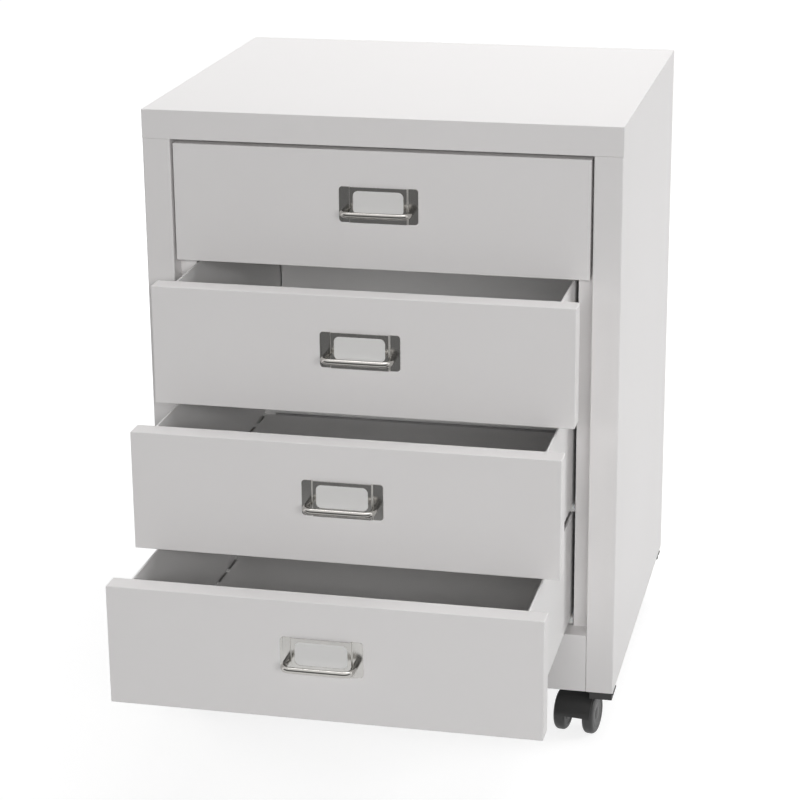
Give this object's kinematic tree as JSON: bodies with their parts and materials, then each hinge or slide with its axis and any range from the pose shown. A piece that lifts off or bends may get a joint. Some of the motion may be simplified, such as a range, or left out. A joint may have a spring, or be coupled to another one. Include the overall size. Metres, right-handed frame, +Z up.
{
  "type": "mobile drawer cabinet",
  "caption": "Low mobile steel cabinet on castors with a stack of equal pull-out drawers, each with a label plate and a wire pull.",
  "frame": {"origin": "on the floor, under the middle of the whole object as it stands, with three drawers pulled out", "axes": "+X to the right as seen from the front, +Y from the drawer fronts to the back, +Z up"},
  "size_m": [0.4416, 0.6354, 0.59],
  "materials": {
    "shell_paint": "white powder coat, fine texture, semi matt",
    "front_paint": "white powder coat, fine texture, semi matt",
    "tray_paint": "white powder coat, semi matt",
    "inner_paint": "white powder coat, semi matt",
    "chrome_plate": "bright plated, pressed",
    "chrome_wire": "bright plated, polished",
    "zinc_steel": "zinc plated",
    "card": "blank pale card, matt",
    "nylon": "moulded white nylon",
    "foot_plastic": "moulded black plastic, satin",
    "castor_plastic": "moulded black plastic, satin",
    "wheel_plastic": "moulded black nylon, satin, matt tread"
  },
  "bodies": {
    "cabinet": {"side_panel_left": "shell_paint", "side_panel_right": "shell_paint", "top_panel": "shell_paint", "back_panel": "shell_paint", "base_panel": "shell_paint", "front_rail": "shell_paint", "side_uprights_left": "inner_paint", "side_uprights_right": "inner_paint", "fixed_runners_left": "inner_paint", "fixed_runners_right": "inner_paint", "front_glides": "nylon", "corner_feet": "foot_plastic", "castor_mounts": "zinc_steel", "castor_stems": "zinc_steel", "back_panel_screws": "zinc_steel"},
    "drawer_1": {"drawer_1_front": "front_paint", "drawer_1_tray": "tray_paint", "drawer_1_rear_glides": "nylon", "drawer_1_label_plate": "chrome_plate", "drawer_1_label_card": "card", "drawer_1_wire_pull": "chrome_wire", "drawer_1_pull_screws": "zinc_steel"},
    "drawer_2": {"drawer_2_front": "front_paint", "drawer_2_tray": "tray_paint", "drawer_2_rear_glides": "nylon", "drawer_2_label_plate": "chrome_plate", "drawer_2_label_card": "card", "drawer_2_wire_pull": "chrome_wire", "drawer_2_pull_screws": "zinc_steel"},
    "drawer_3": {"drawer_3_front": "front_paint", "drawer_3_tray": "tray_paint", "drawer_3_rear_glides": "nylon", "drawer_3_label_plate": "chrome_plate", "drawer_3_label_card": "card", "drawer_3_wire_pull": "chrome_wire", "drawer_3_pull_screws": "zinc_steel"},
    "drawer_4": {"drawer_4_front": "front_paint", "drawer_4_tray": "tray_paint", "drawer_4_rear_glides": "nylon", "drawer_4_label_plate": "chrome_plate", "drawer_4_label_card": "card", "drawer_4_wire_pull": "chrome_wire", "drawer_4_pull_screws": "zinc_steel"},
    "castor_front_left": {"castor_front_left_hood": "castor_plastic", "castor_front_left_axle": "zinc_steel"},
    "wheel_front_left_left": {"castor_front_left_wheel_left": "wheel_plastic"},
    "wheel_front_left_right": {"castor_front_left_wheel_right": "wheel_plastic"},
    "castor_front_right": {"castor_front_right_hood": "castor_plastic", "castor_front_right_axle": "zinc_steel"},
    "wheel_front_right_left": {"castor_front_right_wheel_left": "wheel_plastic"},
    "wheel_front_right_right": {"castor_front_right_wheel_right": "wheel_plastic"},
    "castor_rear_left": {"castor_rear_left_hood": "castor_plastic", "castor_rear_left_axle": "zinc_steel"},
    "wheel_rear_left_left": {"castor_rear_left_wheel_left": "wheel_plastic"},
    "wheel_rear_left_right": {"castor_rear_left_wheel_right": "wheel_plastic"},
    "castor_rear_right": {"castor_rear_right_hood": "castor_plastic", "castor_rear_right_axle": "zinc_steel"},
    "wheel_rear_right_left": {"castor_rear_right_wheel_left": "wheel_plastic"},
    "wheel_rear_right_right": {"castor_rear_right_wheel_right": "wheel_plastic"}
  },
  "joints": [
    {"name": "drawer_1_slide", "type": "slide", "parent": "cabinet", "child": "drawer_1", "axis": [0, -1, 0], "range_m": [0, 0.27]},
    {"name": "drawer_2_slide", "type": "slide", "parent": "cabinet", "child": "drawer_2", "axis": [0, -1, 0], "range_m": [-0.078, 0.192]},
    {"name": "drawer_3_slide", "type": "slide", "parent": "cabinet", "child": "drawer_3", "axis": [0, -1, 0], "range_m": [-0.15, 0.12]},
    {"name": "drawer_4_slide", "type": "slide", "parent": "cabinet", "child": "drawer_4", "axis": [0, -1, 0], "range_m": [-0.2315, 0.0385]},
    {"name": "castor_front_left_swivel", "type": "hinge", "parent": "cabinet", "child": "castor_front_left", "pos_m": [-0.187, -0.02593, 0.0345], "axis": [0, 0, 1], "continuous": true},
    {"name": "wheel_front_left_left_roll", "type": "hinge", "parent": "castor_front_left", "child": "wheel_front_left_left", "pos_m": [-0.187, -0.04292, 0.02], "axis": [1, 0, 0], "continuous": true},
    {"name": "wheel_front_left_right_roll", "type": "hinge", "parent": "castor_front_left", "child": "wheel_front_left_right", "pos_m": [-0.187, -0.04292, 0.02], "axis": [1, 0, 0], "continuous": true},
    {"name": "castor_front_right_swivel", "type": "hinge", "parent": "cabinet", "child": "castor_front_right", "pos_m": [0.187, -0.02593, 0.0345], "axis": [0, 0, 1], "continuous": true},
    {"name": "wheel_front_right_left_roll", "type": "hinge", "parent": "castor_front_right", "child": "wheel_front_right_left", "pos_m": [0.18463, -0.04276, 0.02], "axis": [0.9903, -0.1392, 0], "continuous": true},
    {"name": "wheel_front_right_right_roll", "type": "hinge", "parent": "castor_front_right", "child": "wheel_front_right_right", "pos_m": [0.18463, -0.04276, 0.02], "axis": [0.9903, -0.1392, 0], "continuous": true},
    {"name": "castor_rear_left_swivel", "type": "hinge", "parent": "cabinet", "child": "castor_rear_left", "pos_m": [-0.187, 0.27808, 0.0345], "axis": [0, 0, 1], "continuous": true},
    {"name": "wheel_rear_left_left_roll", "type": "hinge", "parent": "castor_rear_left", "child": "wheel_rear_left_left", "pos_m": [-0.187, 0.26108, 0.02], "axis": [1, 0, 0], "continuous": true},
    {"name": "wheel_rear_left_right_roll", "type": "hinge", "parent": "castor_rear_left", "child": "wheel_rear_left_right", "pos_m": [-0.187, 0.26108, 0.02], "axis": [1, 0, 0], "continuous": true},
    {"name": "castor_rear_right_swivel", "type": "hinge", "parent": "cabinet", "child": "castor_rear_right", "pos_m": [0.187, 0.27808, 0.0345], "axis": [0, 0, 1], "continuous": true},
    {"name": "wheel_rear_right_left_roll", "type": "hinge", "parent": "castor_rear_right", "child": "wheel_rear_right_left", "pos_m": [0.187, 0.26108, 0.02], "axis": [1, 0, 0], "continuous": true},
    {"name": "wheel_rear_right_right_roll", "type": "hinge", "parent": "castor_rear_right", "child": "wheel_rear_right_right", "pos_m": [0.187, 0.26108, 0.02], "axis": [1, 0, 0], "continuous": true}
  ]
}
